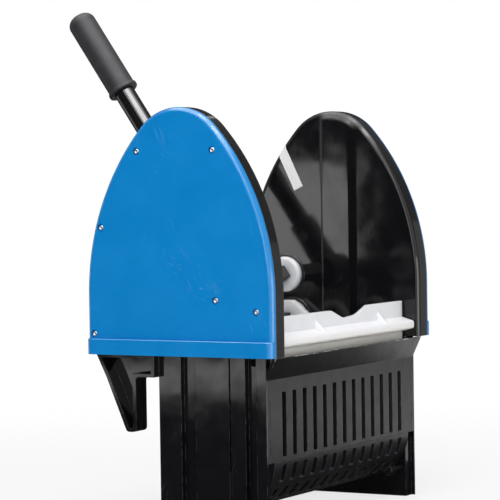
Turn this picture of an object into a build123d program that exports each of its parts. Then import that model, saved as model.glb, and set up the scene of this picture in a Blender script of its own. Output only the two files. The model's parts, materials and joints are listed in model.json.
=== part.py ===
from build123d import *
from math import acos, atan2, cos, degrees, pi, radians, sin, sqrt, tan
import os

# Lever mop wringer that hangs on a rim by two rear hooks.
# Sizes are millimetres. It is drawn with x across, y back from the front edges of the
# side frames and z up from the lower edge of the skirts, and save() sets it on its feet.

# Fits and clearances
FIT = 0.05              # between a fixed pin, screw or square bar and its hole, on each side
RUN = 0.06              # between a turning journal and its bore, on the radius
GAP = 0.3               # between faces that move past each other
BITE = 1.0              # how far a rib or boss runs into the wall that carries it

# Side frames: arched housings
SIDE_PLANE = 167.5      # from the middle to the plane where a cover seats
FRAME_DEEP = 20.0       # depth of a housing across the wringer
ARCH_DEPTH = 208.0      # front to back at the foot of an arch
ARCH_HIGH = 240.0       # apex above the lower edge of the skirts
ARCH_STRAIGHT = 58.0    # height of the upright edges below the curve
ARCH_TOP_R = 55.0       # radius of the rounded apex
WALL = 4.0              # housing wall
FLOOR = 3.5             # housing floor
FRAME_ROUND = 5.0       # round along the inner edge of an arch
BAND_FRONT = 72.0       # front edge of the raised band on the inner face
BAND_WIDE = 42.5
BAND_SLOPE = 9.0        # width of its front slope
BAND_STEP = 2.5         # width of its back slope
BAND_RISE = 2.0
BAND_SHORT = 6.0        # distance of its upper end from the edge of the arch

# Side frames: lower walls and rim hooks
FOOT_CLEAR = 20.0       # trough above the surface that the lower walls stand on
SKIN = 3.5              # wall of the grille, the trough, the lower walls and the hooks
POST_IN = 4.5           # outer face of a front corner post in from the side plane
PANEL_IN = 9.5          # the same for the lower wall's raised panels
POST_DEEP = 7.3         # corner post, grooves and panels from front to back
FRONT_GROOVE = 14.7
PANEL_FRONT = 16.5
SEAM = 1.5
PANEL_MID = 37.5
REAR_GROOVE = 16.0
HOOK_BACK = 6.0         # back of a hook's root in front of the arch's rear edge
HOOK_KINK = 11.5        # how far the hook's back comes forward at its kink
HOOK_KINK_DROP = 23.0
HOOK_LONG = 76.0        # tip below the skirts
HOOK_TIP = 11.0         # width of the tip
HOOK_ROUND = 4.4
RIM_GAP = 21.0          # room for a rim between the rear wall and the hook
SEAT_DROP = 22.0        # rim seat below the skirts
SEAT_ROUND = 4.0

# Grille, lip and trough
GRILLE_Y = 14.3         # front face of the grille
GRILLE_SHORT = 2.0      # ends of the grille in from the posts' outer faces
LIP_Y = 4.0             # front edge of the lip
LIP_TOP = -1.0
FOLD_Z = -22.4          # where the lip meets the upright grille
SLOT_COUNT = 13
SLOT_PITCH = 21.2
SLOT_WIDE = 8.5
SLOT_TOP = -35.3
BAR_RISE = 2.0          # bars between the slots, thicker on the inner side
JOINT_IN = 6.0          # joint lines down the grille's face, in from its ends
JOINT_WIDE = 1.0
PAN_Z = -102.0          # where the upright grille ends and the trough curves back
PAN_R = 48.0            # outer radius of the trough's front curve
PAN_REAR_R = 24.0
SLOT_ROWS = 3           # rows of slots round the front curve
ROW_BAR = 9.0           # angle of the bar between two rows, degrees
REAR_Y = 136.0          # back face of the rear wall
REAR_TOP = -9.0         # top of the rear wall

# Covers
COVER_THICK = 6.0
COVER_ROUND = 5.5
COVER_SKIN = 3.0
COVER_RIM = 7.0         # width of the seating rim round a cover
SKIRT_OUT = 10.0        # how far the skirt stands out from the seat
SKIRT_HIGH = 15.5
SKIRT_ROUND = 7.0
SKIRT_EDGE = 1.5

# Screws
COVER_SCREW_R = 1.75
COVER_HEAD_R = 2.8
COVER_HEAD_HIGH = 2.0
FRAME_SCREW_R = 2.0
FRAME_HEAD_R = 4.0
FRAME_HEAD_HIGH = 2.6
HEAD_CROWN = 1.2        # round of a head's edge
HEAD_ROOM = 0.8         # room round a sunk head, on the radius
SINK = 0.6              # depth of a sunk head below the cover's face
DRIVE_R = 1.6           # hexagon recess in a head
DRIVE_DEEP = 1.2
SCREW_LONG = 14.0
BOSS_R = 5.0

# Places of the cover screws
UPPER_SCREW_DROP = 42.0     # two upper screws below the apex, and in from the arch's edges
UPPER_SCREW_FRONT = 20.0
UPPER_SCREW_BACK = 15.0
BACK_SCREW_Z = 124.0
BACK_SCREW_IN = 8.0
FOOT_SCREW_Z = 20.0
FOOT_SCREW_IN = 8.0
FACE_SCREW_Y = 62.5
FACE_SCREW_Z = 54.0
FRONT_SCREW_IN = 18.3
FRONT_SCREW_Z = 43.5

# Front guard
GUARD_TOP = 37.6        # top edge right of the dip
GUARD_LEFT_TOP = 36.4   # top edge left of it
GUARD_BOTTOM = -30.0
GUARD_END = 3.5         # room between an end of the guard and its side frame
GUARD_WALL = 3.5
NOSE_LOW = 9.2          # front face of the tapered nose
NOSE_HIGH = 16.9
NOSE_Y = 4.0
NOSE_ROUND = 3.0
NOSE_ROOT_LOW = 5.5     # where the nose leaves the wall
NOSE_ROOT_HIGH = 20.8
DIP_LEFT_X = -19.0      # corners of the dip in the top edge, from left to right
DIP_LOW_X = 8.0
DIP_TURN_X = 38.0
DIP_RIGHT_X = 62.2
DIP_LOW_Z = 27.2
DIP_TURN_Z = 29.2
DIP_SHOULDER = 14.0     # rounds of its corners
DIP_LOW_ROUND = 25.0
DIP_TURN_ROUND = 45.0
RIB_LEFT_X = -53.5      # gusset ribs
RIB_RIGHT_X = 85.0
RIB_THICK = 3.0
RIB_TOP = 31.0
TAB_DEEP = 26.0         # end tabs that run back along the side frames
TAB_LOW = -14.0
TAB_HIGH = 22.0
TAB_SCREW_IN = 8.0      # screws in from the tab's lower and upper edges

# Shafts, bushings and gears
SQUARE = 13.5           # side of a square shaft
SHAFT_IN = 50.0         # lever shaft in front of the arches' rear edges
SHAFT_Z = 64.8
PRESS_TILT = 8.4        # lean of the line from the lever shaft down to the press shaft, degrees
FLANGE_R = 19.0
FLANGE_THICK = 8.0
FLANGE_ROUND = 3.0
COLLAR_ROOM = 1.2       # collar on a side frame round a flange
COLLAR_WIDE = 2.0
COLLAR_HIGH = 1.5
JOURNAL_R = 12.5
MODULE = 2.0
PINION_TEETH = 15
SECTOR_TEETH = 33       # teeth of the whole circle that the sector is cut from
SECTOR_BACK = 2         # teeth behind and in front of the centre line at rest
SECTOR_FRONT = 6
ADDENDUM = 0.8          # stub teeth, in modules
DEDENDUM = 1.1
PRESSURE = 20.0         # degrees
BACKLASH = 0.3
FLANK_STEPS = 4         # straight steps in a tooth's flank
GEAR_WIDE = 12.0
SECTOR_HUB_R = 12.5
SPIGOT_R = 6.0
SPIGOT_LONG = 4.0
RING_R = 10.0           # push-on retaining rings
RING_THICK = 1.5
SWING = 40.0            # swing of the press plate, degrees
STOP_IN = 17.0          # moulded stop ribs for the sectors: inner and outer radius, angle
STOP_OUT = 28.0
STOP_WIDE = 9.0

# Press plate
PRESS_ROOM = 4.5        # plate's ribs at rest in front of the rear wall
PRESS_THICK = 4.0
PRESS_TOP = -3.0
PRESS_LIFT = 14.5       # plate's lower edge above the trough's floor
PRESS_ROUND = 1.8
PRESS_RIBS = 7
PRESS_RIB_DEEP = 8.0
LUG_R = 14.0
LUG_WIDE = 16.0
LUG_LOW = -40.0         # where a lug runs out on the back of the plate
LUG_INNER_X = 48.0      # middle of the two inner lugs
ARM_WIDE = 10.0         # end arms that carry the plate beside the bushings
ARM_TOP = 37.3
ARM_CORNER_Y = 143.0    # where an arm's flat top turns down towards the plate
ARM_SLOPE = 38.6        # slope of its front edge, degrees
LUG_WEB_HIGH = 135.0    # angles round the eye where the web of a lug starts and ends
LUG_WEB_LOW = 240.0

# Lever
LEVER_X = 41.0
LEVER_LEAN = 34.6       # back from upright at rest, degrees
LEVER_LONG = 342.0      # shaft to the end of the grip
TUBE_R = 11.1
TUBE_WALL = 2.0
SOCKET_R = 15.0
SOCKET_LONG = 64.0
SOCKET_SEAT = 22.0      # where the tube starts, above the shaft
HUB_R = 18.0
HUB_WIDE = 44.0
HUB_ROUND = 2.0
BOLT_R = 3.0
BOLT_UP = 46.0
BOLT_PROUD = 1.0        # bolt's end beyond its nut
HEX_R = 5.8
HEX_HIGH = 4.5
SET_SCREW_X = 14.0      # from the socket's middle
SET_SCREW_SINK = 1.0
KEY_R = 1.6             # hexagon key of a set screw
KEY_DEEP = 3.0
GRIP_R = 15.0
GRIP_LONG = 100.4
GRIP_CAP = 5.0
GRIP_ROUND = 10.0
BEAD_R = 16.5
BEAD_LONG = 5.0

# Places that follow from the sizes above
INNER = SIDE_PLANE - FRAME_DEEP
POST_OUT = SIDE_PLANE - POST_IN
PANEL_OUT = SIDE_PLANE - PANEL_IN
GRILLE_HALF = POST_OUT - GRILLE_SHORT
ARCH_HALF = ARCH_DEPTH / 2
ARCH_TOP_Z = ARCH_HIGH - ARCH_TOP_R
ARCH_CURVE = ARCH_TOP_Z - ARCH_STRAIGHT
ARCH_SIDE_R = (ARCH_CURVE ** 2 + ARCH_HALF ** 2 - ARCH_TOP_R ** 2) / (2 * (ARCH_HALF - ARCH_TOP_R))
ARCH_TURN = degrees(atan2(ARCH_CURVE, ARCH_SIDE_R - ARCH_HALF))
COVER_OUT = SIDE_PLANE + COVER_THICK
COVER_IN = COVER_OUT - COVER_SKIN
HEAD_SEAT = COVER_OUT - SINK - COVER_HEAD_HIGH
SKIRT_FACE = SIDE_PLANE + SKIRT_OUT
GRILLE_IN = GRILLE_Y + SKIN
REAR_IN = REAR_Y - SKIN
PAN_LOW = PAN_Z - PAN_R
FOOT_DROP = FOOT_CLEAR - PAN_LOW
HOOK_Y = REAR_Y + RIM_GAP
GUARD_HALF = INNER - GUARD_END
GUARD_BACK = GRILLE_IN + GUARD_WALL
GUARD_SCREW_LONG = WALL + GUARD_END + GUARD_WALL - BITE
SHAFT_Y = ARCH_DEPTH - SHAFT_IN
PINION_R = MODULE * PINION_TEETH / 2
SECTOR_R = MODULE * SECTOR_TEETH / 2
CENTRES = PINION_R + SECTOR_R
PRESS_Y = SHAFT_Y - CENTRES * sin(radians(PRESS_TILT))
PRESS_Z = SHAFT_Z - CENTRES * cos(radians(PRESS_TILT))
MESH_ANGLE = 90 - PRESS_TILT
SECTOR_PITCH = 360 / SECTOR_TEETH
FLANGE_OUT = INNER - GAP
FLANGE_IN = FLANGE_OUT - FLANGE_THICK
GEAR_IN = INNER + WALL + GAP
GEAR_OUT = GEAR_IN + GEAR_WIDE
RIB_BACK = REAR_IN - PRESS_ROOM
RIB_FACE = RIB_BACK - PRESS_RIB_DEEP
PRESS_FRONT = RIB_FACE - PRESS_THICK
PRESS_BOTTOM = PAN_LOW + SKIN + PRESS_LIFT
LEAN = radians(LEVER_LEAN)
GRIP_END_Y = SHAFT_Y + (LEVER_LONG - GRIP_ROUND) * sin(LEAN) + (GRIP_R - GRIP_ROUND) * cos(LEAN)
GRIP_BACK = GRIP_END_Y + GRIP_ROUND
ON_FEET = Pos(0, -GRIP_BACK / 2, FOOT_DROP)


# Shared forms

def block(x0, x1, y0, y1, z0, z1):
    """Box between two corners."""
    return Pos((x0 + x1) / 2, (y0 + y1) / 2, (z0 + z1) / 2) * Box(x1 - x0, y1 - y0, z1 - z0)


def prism(outline, x0, x1):
    """Outline drawn as (y, z), carried across from x0 to x1."""
    return extrude(Plane.YZ.offset(x0) * outline, amount=x1 - x0)


def rod(x0, x1, y, z, radius):
    """Round bar along x."""
    return prism(Pos(y, z) * Circle(radius), x0, x1)


def square_bar(x0, x1, y, z, side, turn=0.0):
    """Square bar along x, turned by so many degrees."""
    return prism(Pos(y, z) * Rot(0, 0, turn) * Rectangle(side, side), x0, x1)


def polygon(*points):
    """Face inside straight edges."""
    return make_face(Polyline(*points, close=True))


def wedge(radius_in, radius_out, first, last):
    """Four-sided face between two radii and two angles in degrees."""
    corners = [(radius_in, first), (radius_out, first), (radius_out, last), (radius_in, last)]
    return polygon(*[(r * cos(radians(a)), r * sin(radians(a))) for r, a in corners])


def other_side(shape):
    """The same piece on the other side of the wringer."""
    return mirror(shape, about=Plane.YZ)


def arch_half(z):
    """Half the depth of an arch at a height below its apex round."""
    rise = max(z - ARCH_STRAIGHT, 0)
    return ARCH_HALF - ARCH_SIDE_R + sqrt(ARCH_SIDE_R ** 2 - rise ** 2)


def arch(inset=0.0, foot=0.0):
    """Outline of a side frame, drawn in by so much, from its foot to its apex."""
    front = inset
    back = ARCH_DEPTH - inset
    side = ARCH_SIDE_R - inset
    return make_face([
        Line((back, foot), (front, foot)),
        Line((front, foot), (front, ARCH_STRAIGHT)),
        CenterArc((ARCH_SIDE_R, ARCH_STRAIGHT), side, 180 - ARCH_TURN, ARCH_TURN),
        CenterArc((ARCH_HALF, ARCH_TOP_Z), ARCH_TOP_R - inset, ARCH_TURN, 180 - 2 * ARCH_TURN),
        CenterArc((ARCH_DEPTH - ARCH_SIDE_R, ARCH_STRAIGHT), side, 0, ARCH_TURN),
        Line((back, ARCH_STRAIGHT), (back, foot)),
    ])


def cover_screw_places():
    """Six places (y, z) of the screws in a cover."""
    upper = ARCH_HIGH - UPPER_SCREW_DROP
    return [
        (ARCH_HALF - arch_half(upper) + UPPER_SCREW_FRONT, upper),
        (ARCH_HALF + arch_half(upper) - UPPER_SCREW_BACK, upper),
        (ARCH_HALF + arch_half(BACK_SCREW_Z) - BACK_SCREW_IN, BACK_SCREW_Z),
        (ARCH_DEPTH - FOOT_SCREW_IN, FOOT_SCREW_Z),
        (FACE_SCREW_Y, FACE_SCREW_Z),
        (FRONT_SCREW_IN, FRONT_SCREW_Z),
    ]


def screw(x, y, z, shank_r, head_r, head_high, long):
    """Screw along x, its head's seat at x and its point towards the middle."""
    head = rod(x, x + head_high, y, z, head_r)
    head = fillet(head.edges().sort_by(Axis.X)[-1], HEAD_CROWN)
    drive = prism(Pos(y, z) * RegularPolygon(DRIVE_R, 6), x + head_high - DRIVE_DEEP, x + head_high)
    return head - drive + rod(x - long, x, y, z, shank_r)


def save(name, *solids):
    """Write one piece, or a group of like pieces, standing on the feet."""
    shape = solids[0] if len(solids) == 1 else Compound(children=list(solids))
    shape = ON_FEET * shape
    shape.label = name
    export_step(shape, f"parts/{name}.step")


# Toothed wheels

def involute(angle):
    """Involute function of an angle in radians."""
    return tan(angle) - angle


def tooth(teeth, middle):
    """Corner points of one stub tooth round the angle middle, in degrees."""
    pitch_r = MODULE * teeth / 2
    base_r = pitch_r * cos(radians(PRESSURE))
    root_r = pitch_r - MODULE * DEDENDUM
    tip_r = pitch_r + MODULE * ADDENDUM
    half = pi / (2 * teeth) - BACKLASH / (4 * pitch_r)
    start_r = max(base_r, root_r)
    steps = [start_r + (tip_r - start_r) * i / FLANK_STEPS for i in range(FLANK_STEPS + 1)]
    flank = [(r, half + involute(radians(PRESSURE)) - involute(acos(base_r / r))) for r in steps]
    flank = [(root_r, flank[0][1])] + flank
    sides = [(r, -a) for r, a in flank] + [(r, a) for r, a in reversed(flank)]
    turn = radians(middle)
    return [(r * cos(turn + a), r * sin(turn + a)) for r, a in sides]


def pinion_outline():
    """Whole pinion with one tooth pointing at the press shaft."""
    points = []
    for i in range(PINION_TEETH):
        points += tooth(PINION_TEETH, MESH_ANGLE + 180 + 360 / PINION_TEETH * i)
    return polygon(*points)


def sector_angles():
    """Angles of the sector's teeth at rest, with a gap on the line between the shafts."""
    return [MESH_ANGLE + (i + 0.5) * SECTOR_PITCH for i in range(-SECTOR_BACK, SECTOR_FRONT)]


def sector_outline():
    """Fan of teeth on a round hub."""
    points = [(0, 0)]
    for angle in sector_angles():
        points += tooth(SECTOR_TEETH, angle)
    return Circle(SECTOR_HUB_R) + polygon(*points)


def make_pinion():
    """Pinion on the right-hand end of the lever shaft."""
    wheel = prism(Pos(SHAFT_Y, SHAFT_Z) * pinion_outline(), GEAR_IN, GEAR_OUT)
    return wheel - square_bar(GEAR_IN, GEAR_OUT, SHAFT_Y, SHAFT_Z, SQUARE + 2 * FIT, -LEVER_LEAN)


def make_sector():
    """Toothed sector on the right-hand end of the press shaft."""
    fan = prism(Pos(PRESS_Y, PRESS_Z) * sector_outline(), GEAR_IN, GEAR_OUT)
    return fan - square_bar(GEAR_IN, GEAR_OUT, PRESS_Y, PRESS_Z, SQUARE + 2 * FIT)


def stop_ribs():
    """Two moulded ribs that the sector's edges come to rest on at the ends of its swing."""
    slack = degrees(GAP / STOP_IN)
    low = sector_angles()[0] - SECTOR_PITCH / 2 - SWING - slack
    high = sector_angles()[-1] + SECTOR_PITCH / 2 + slack
    outlines = [wedge(STOP_IN, STOP_OUT, first, first + STOP_WIDE) for first in (low - STOP_WIDE, high)]
    return [prism(Pos(PRESS_Y, PRESS_Z) * outline, INNER + BITE, GEAR_OUT) for outline in outlines]


# Side frames

def housing():
    """Arched housing, open towards its cover, with a raised band on its inner face."""
    shell = prism(arch(), INNER, SIDE_PLANE)
    inner_edges = shell.faces().sort_by(Axis.X)[0].edges()
    shell = fillet([e for e in inner_edges if e.center().Z > FLOOR], FRAME_ROUND)
    root = INNER + BITE
    crest = INNER - BAND_RISE
    back = BAND_FRONT + BAND_WIDE
    band = polygon((root, BAND_FRONT), (INNER, BAND_FRONT), (crest, BAND_FRONT + BAND_SLOPE),
                   (crest, back - BAND_STEP), (INNER, back), (root, back))
    shell += extrude(band, amount=ARCH_HIGH) & prism(arch(BAND_SHORT), crest, root)
    return shell - prism(arch(WALL, FLOOR), INNER + WALL, SIDE_PLANE)


def hook():
    """Rear hook with the rim seat in front of it and a pocket that is open on the outer side."""
    back = ARCH_DEPTH - HOOK_BACK
    sharp = polygon((REAR_Y, 0), (back, 0), (back - HOOK_KINK, -HOOK_KINK_DROP),
                    (HOOK_Y + HOOK_TIP, -HOOK_LONG), (HOOK_Y, -HOOK_LONG),
                    (HOOK_Y, -SEAT_DROP), (REAR_Y, -SEAT_DROP))
    pocket = offset(sharp, -SKIN, kind=Kind.INTERSECTION)
    rounded = fillet(sharp.vertices().group_by(Axis.Y)[0], HOOK_ROUND)
    rounded = fillet(rounded.vertices().sort_by_distance((HOOK_Y, -SEAT_DROP))[0], SEAT_ROUND)
    return prism(rounded, INNER, SIDE_PLANE) - prism(pocket, INNER + SKIN, SIDE_PLANE)


def lower_grooves():
    """Middles of the two wide grooves in a lower side wall."""
    front = GRILLE_IN + POST_DEEP + FRONT_GROOVE / 2
    rear = front + FRONT_GROOVE / 2 + PANEL_FRONT + SEAM + PANEL_MID + REAR_GROOVE / 2
    return front, rear


def lower_wall():
    """Side wall below a housing: inner skin, corner post and raised panels, open underneath."""
    wall = block(INNER, INNER + WALL, GRILLE_IN, REAR_Y, -FOOT_DROP, 0)
    wall += block(GRILLE_HALF, POST_OUT, GRILLE_Y, GRILLE_IN + BITE, -FOOT_DROP, 0)
    front, rear = lower_grooves()
    first = front + FRONT_GROOVE / 2
    second = first + PANEL_FRONT + SEAM
    third = rear + REAR_GROOVE / 2
    panels = [
        (GRILLE_IN, GRILLE_IN + POST_DEEP, POST_OUT),
        (first, first + PANEL_FRONT, PANEL_OUT),
        (second, second + PANEL_MID, PANEL_OUT),
        (third, REAR_Y, PANEL_OUT),
    ]
    for y0, y1, out in panels:
        wall += block(INNER, out, y0, y1, -FOOT_DROP, 0)
        wall -= block(INNER + WALL, out - SKIN, y0 + SKIN, y1 - SKIN, -FOOT_DROP, -SKIN)
    return wall


def pan_screw_places():
    """Places (y, z) of the screws that hold the trough pan, in the grooves of a lower wall."""
    front, rear = lower_grooves()
    off_centre = GRILLE_Y + PAN_R - front
    drop = sqrt((PAN_R + BOSS_R / 2) ** 2 - off_centre ** 2)
    return [(front, PAN_Z - drop), (rear, PAN_LOW - BOSS_R / 2)]


def guard_screw_places():
    """Places (y, z) of the screws that hold one end of the front guard."""
    y = lower_grooves()[0]
    return [(y, TAB_LOW + TAB_SCREW_IN), (y, TAB_HIGH - TAB_SCREW_IN)]


def make_side_frame():
    """Right-hand side frame in one moulding."""
    frame = housing() + hook() + lower_wall()
    for rib in stop_ribs():
        frame += rib
    for y, z in cover_screw_places():
        frame += rod(INNER + BITE, SIDE_PLANE, y, z, BOSS_R) & prism(arch(BITE), INNER, SIDE_PLANE)
        frame -= rod(INNER + WALL + BITE, SIDE_PLANE, y, z, COVER_SCREW_R + FIT)
    for y, z in guard_screw_places() + pan_screw_places():
        frame -= rod(INNER, INNER + WALL, y, z, FRAME_SCREW_R + FIT)
    collar_r = FLANGE_R + COLLAR_ROOM
    for y, z in ((SHAFT_Y, SHAFT_Z), (PRESS_Y, PRESS_Z)):
        collar = rod(INNER - COLLAR_HIGH, INNER + BITE, y, z, collar_r + COLLAR_WIDE)
        frame += collar - rod(INNER - COLLAR_HIGH, INNER + BITE, y, z, collar_r)
        frame -= rod(INNER, INNER + WALL, y, z, JOURNAL_R + RUN)
    return frame


def make_frame_screws(places, long):
    """Screws from the outer side of the right-hand frame's inner wall."""
    return [screw(INNER + WALL, y, z, FRAME_SCREW_R, FRAME_HEAD_R, FRAME_HEAD_HIGH, long) for y, z in places]


# Covers

def make_cover():
    """Right-hand cover: dished arch plate with a stepped skirt."""
    plate = prism(arch(), SIDE_PLANE, COVER_OUT)
    outer_edges = plate.faces().sort_by(Axis.X)[-1].edges()
    plate = fillet([e for e in outer_edges if e.center().Z > FLOOR], COVER_ROUND)
    skirt = block(SIDE_PLANE, SKIRT_FACE, 0, ARCH_DEPTH, 0, SKIRT_HIGH)
    face = skirt.faces().sort_by(Axis.X)[-1]
    skirt = fillet(face.edges().filter_by(Axis.Z), SKIRT_ROUND)
    skirt = fillet(skirt.edges().group_by(Axis.Z)[-1].group_by(Axis.X)[-1], SKIRT_EDGE)
    dish = prism(arch(COVER_RIM, COVER_SKIN), SIDE_PLANE, COVER_IN)
    dish += block(SIDE_PLANE, SKIRT_FACE - COVER_SKIN, COVER_RIM, ARCH_DEPTH - COVER_RIM,
                  COVER_SKIN, SKIRT_HIGH - COVER_SKIN)
    for y, z in cover_screw_places():
        dish -= rod(SIDE_PLANE, COVER_IN, y, z, BOSS_R)
    cover = plate + skirt - dish
    for y, z in cover_screw_places():
        cover -= rod(SIDE_PLANE, HEAD_SEAT, y, z, COVER_SCREW_R + FIT)
        cover -= rod(HEAD_SEAT, COVER_OUT, y, z, COVER_HEAD_R + HEAD_ROOM)
    return cover


def make_cover_screws():
    """Six screws of the right-hand cover."""
    return [screw(HEAD_SEAT, y, z, COVER_SCREW_R, COVER_HEAD_R, COVER_HEAD_HIGH, SCREW_LONG)
            for y, z in cover_screw_places()]


# Grille and trough

def cut_slots(solid, outline):
    """Cut one row of drain slots whose shape from the side is the outline."""
    for i in range(SLOT_COUNT):
        x = (i - (SLOT_COUNT - 1) / 2) * SLOT_PITCH
        solid -= prism(outline, x - SLOT_WIDE / 2, x + SLOT_WIDE / 2)
    return solid


def make_grille():
    """Upright slotted front with its flared lip."""
    flare = (GRILLE_Y - LIP_Y) / (LIP_TOP - FOLD_Z)
    lip_thick = SKIN * sqrt(1 + flare ** 2)
    fold_in = FOLD_Z + (lip_thick - SKIN) / flare
    outline = polygon((LIP_Y, LIP_TOP), (GRILLE_Y, FOLD_Z), (GRILLE_Y, PAN_Z), (GRILLE_IN, PAN_Z),
                      (GRILLE_IN, fold_in), (LIP_Y + lip_thick, LIP_TOP))
    front = GRILLE_Y - BITE
    back = GRILLE_IN + BAR_RISE + BITE
    foot = PAN_Z + SKIN
    grille = prism(outline, -GRILLE_HALF, GRILLE_HALF)
    grille += block(-GUARD_HALF, GUARD_HALF, GRILLE_IN - BITE, GRILLE_IN + BAR_RISE, foot, SLOT_TOP + SKIN)
    joint_x = GRILLE_HALF - JOINT_IN
    joint = block(joint_x, joint_x + JOINT_WIDE, front, GRILLE_Y + JOINT_WIDE, PAN_Z, FOLD_Z)
    grille -= joint
    grille -= other_side(joint)
    slot = polygon((front, SLOT_TOP), (front, foot), (back, foot), (back, SLOT_TOP))
    return cut_slots(grille, slot)


def make_trough():
    """Trough pan: slotted front curve, slotted floor and plain rear wall."""
    front_y = GRILLE_Y + PAN_R
    rear_y = REAR_Y - PAN_REAR_R
    rear_z = PAN_LOW + PAN_REAR_R
    outline = make_face([
        CenterArc((front_y, PAN_Z), PAN_R, 180, 90),
        Line((front_y, PAN_LOW), (rear_y, PAN_LOW)),
        CenterArc((rear_y, rear_z), PAN_REAR_R, 270, 90),
        Line((REAR_Y, rear_z), (REAR_Y, REAR_TOP)),
        Line((REAR_Y, REAR_TOP), (REAR_IN, REAR_TOP)),
        Line((REAR_IN, REAR_TOP), (REAR_IN, rear_z)),
        CenterArc((rear_y, rear_z), PAN_REAR_R - SKIN, 270, 90),
        Line((rear_y, PAN_LOW + SKIN), (front_y, PAN_LOW + SKIN)),
        CenterArc((front_y, PAN_Z), PAN_R - SKIN, 180, 90),
        Line((GRILLE_IN, PAN_Z), (GRILLE_Y, PAN_Z)),
    ])
    pan = prism(outline, -INNER, INNER)
    row = 90 / SLOT_ROWS
    for i in range(SLOT_ROWS):
        start = 180 + i * row
        slot = wedge(PAN_R - 2 * SKIN, PAN_R + SKIN, start + ROW_BAR / 2, start + row - ROW_BAR / 2)
        pan = cut_slots(pan, Pos(front_y, PAN_Z) * slot)
    slot = Rectangle(rear_y - front_y - 2 * SKIN, 3 * SKIN)
    pan = cut_slots(pan, Pos((front_y + rear_y) / 2, PAN_LOW) * slot)
    for y, z in pan_screw_places():
        boss = rod(INNER - SCREW_LONG, INNER, y, z, BOSS_R)
        hole = rod(INNER - SCREW_LONG + WALL, INNER, y, z, FRAME_SCREW_R + FIT)
        pan += boss
        pan += other_side(boss)
        pan -= hole
        pan -= other_side(hole)
    return pan


# Front guard

def make_guard():
    """Guard across the mouth: upright wall with a dipped top, tapered nose, gussets and end tabs."""
    outline = polygon((GRILLE_IN, GUARD_BOTTOM), (GUARD_BACK, GUARD_BOTTOM), (GUARD_BACK, GUARD_TOP),
                      (GRILLE_IN, GUARD_TOP), (GRILLE_IN, NOSE_ROOT_HIGH), (NOSE_Y, NOSE_HIGH),
                      (NOSE_Y, NOSE_LOW), (GRILLE_IN, NOSE_ROOT_LOW))
    outline = fillet(outline.vertices().group_by(Axis.X)[0], NOSE_ROUND)
    guard = prism(outline, -GUARD_HALF, GUARD_HALF)
    over = GUARD_TOP + BITE
    dip = polygon((-GUARD_HALF - BITE, over), (-GUARD_HALF - BITE, GUARD_LEFT_TOP), (DIP_LEFT_X, GUARD_LEFT_TOP),
                  (DIP_LOW_X, DIP_LOW_Z), (DIP_TURN_X, DIP_TURN_Z), (DIP_RIGHT_X, GUARD_TOP), (DIP_RIGHT_X, over))
    for x, z, radius in ((DIP_LEFT_X, GUARD_LEFT_TOP, DIP_SHOULDER), (DIP_LOW_X, DIP_LOW_Z, DIP_LOW_ROUND),
                         (DIP_TURN_X, DIP_TURN_Z, DIP_TURN_ROUND)):
        dip = fillet(dip.vertices().sort_by_distance((x, z))[0], radius)
    guard -= Pos(0, GUARD_BACK, 0) * extrude(Plane.XZ * dip, amount=2 * GUARD_WALL, both=True)
    cut = NOSE_ROUND * (1 - sqrt(0.5))
    tip_y, tip_z = NOSE_Y + cut, NOSE_HIGH - cut
    gusset = polygon((GRILLE_IN + BITE, NOSE_ROOT_HIGH - BITE), (GRILLE_IN + BITE, RIB_TOP),
                     (tip_y, tip_z), (tip_y + BITE, tip_z - BITE))
    for x in (RIB_LEFT_X, RIB_RIGHT_X):
        guard += prism(gusset, x - RIB_THICK / 2, x + RIB_THICK / 2)
    tab_in = GUARD_HALF - GUARD_WALL
    tab = block(tab_in, GUARD_HALF, GRILLE_IN, GRILLE_IN + TAB_DEEP, TAB_LOW, TAB_HIGH)
    for y, z in guard_screw_places():
        tab += rod(GUARD_HALF - BITE, INNER, y, z, BOSS_R)
        tab -= rod(tab_in + BITE, INNER, y, z, FRAME_SCREW_R + FIT)
    return guard + tab + other_side(tab)


# Shafts and bushings

def make_shaft(y, z, turn):
    """Square cross shaft with a round spigot at each end for a retaining ring."""
    bar = square_bar(-GEAR_OUT, GEAR_OUT, y, z, SQUARE, turn)
    return bar + rod(-GEAR_OUT - SPIGOT_LONG, GEAR_OUT + SPIGOT_LONG, y, z, SPIGOT_R)


def make_bushing(y, z, turn):
    """Right-hand flanged bushing, square inside and turning in the side frame."""
    flange = rod(FLANGE_IN, FLANGE_OUT, y, z, FLANGE_R)
    flange = fillet(flange.edges().sort_by(Axis.X)[0], FLANGE_ROUND)
    bushing = flange + rod(FLANGE_OUT, GEAR_IN, y, z, JOURNAL_R)
    return bushing - square_bar(FLANGE_IN, GEAR_IN, y, z, SQUARE + 2 * FIT, turn)


def make_rings(y, z):
    """Push-on retaining rings on the two spigots of a shaft."""
    end = GEAR_OUT + RING_THICK
    ring = rod(GEAR_OUT, end, y, z, RING_R) - rod(GEAR_OUT, end, y, z, SPIGOT_R + FIT)
    return [ring, other_side(ring)]


# Press plate

def on_eye(angle):
    """Point (y, z) on the round eye about the press shaft."""
    return PRESS_Y + LUG_R * cos(radians(angle)), PRESS_Z + LUG_R * sin(radians(angle))


def lug_outline():
    """Inner lug: an eye on the press shaft with a web down to the plate."""
    web = polygon((PRESS_FRONT, PRESS_TOP), on_eye(LUG_WEB_HIGH), on_eye(LUG_WEB_LOW),
                  (RIB_BACK, PRESS_TOP - BITE), (RIB_BACK, LUG_LOW), (PRESS_FRONT, LUG_LOW))
    return Pos(PRESS_Y, PRESS_Z) * Circle(LUG_R) + web


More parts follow.
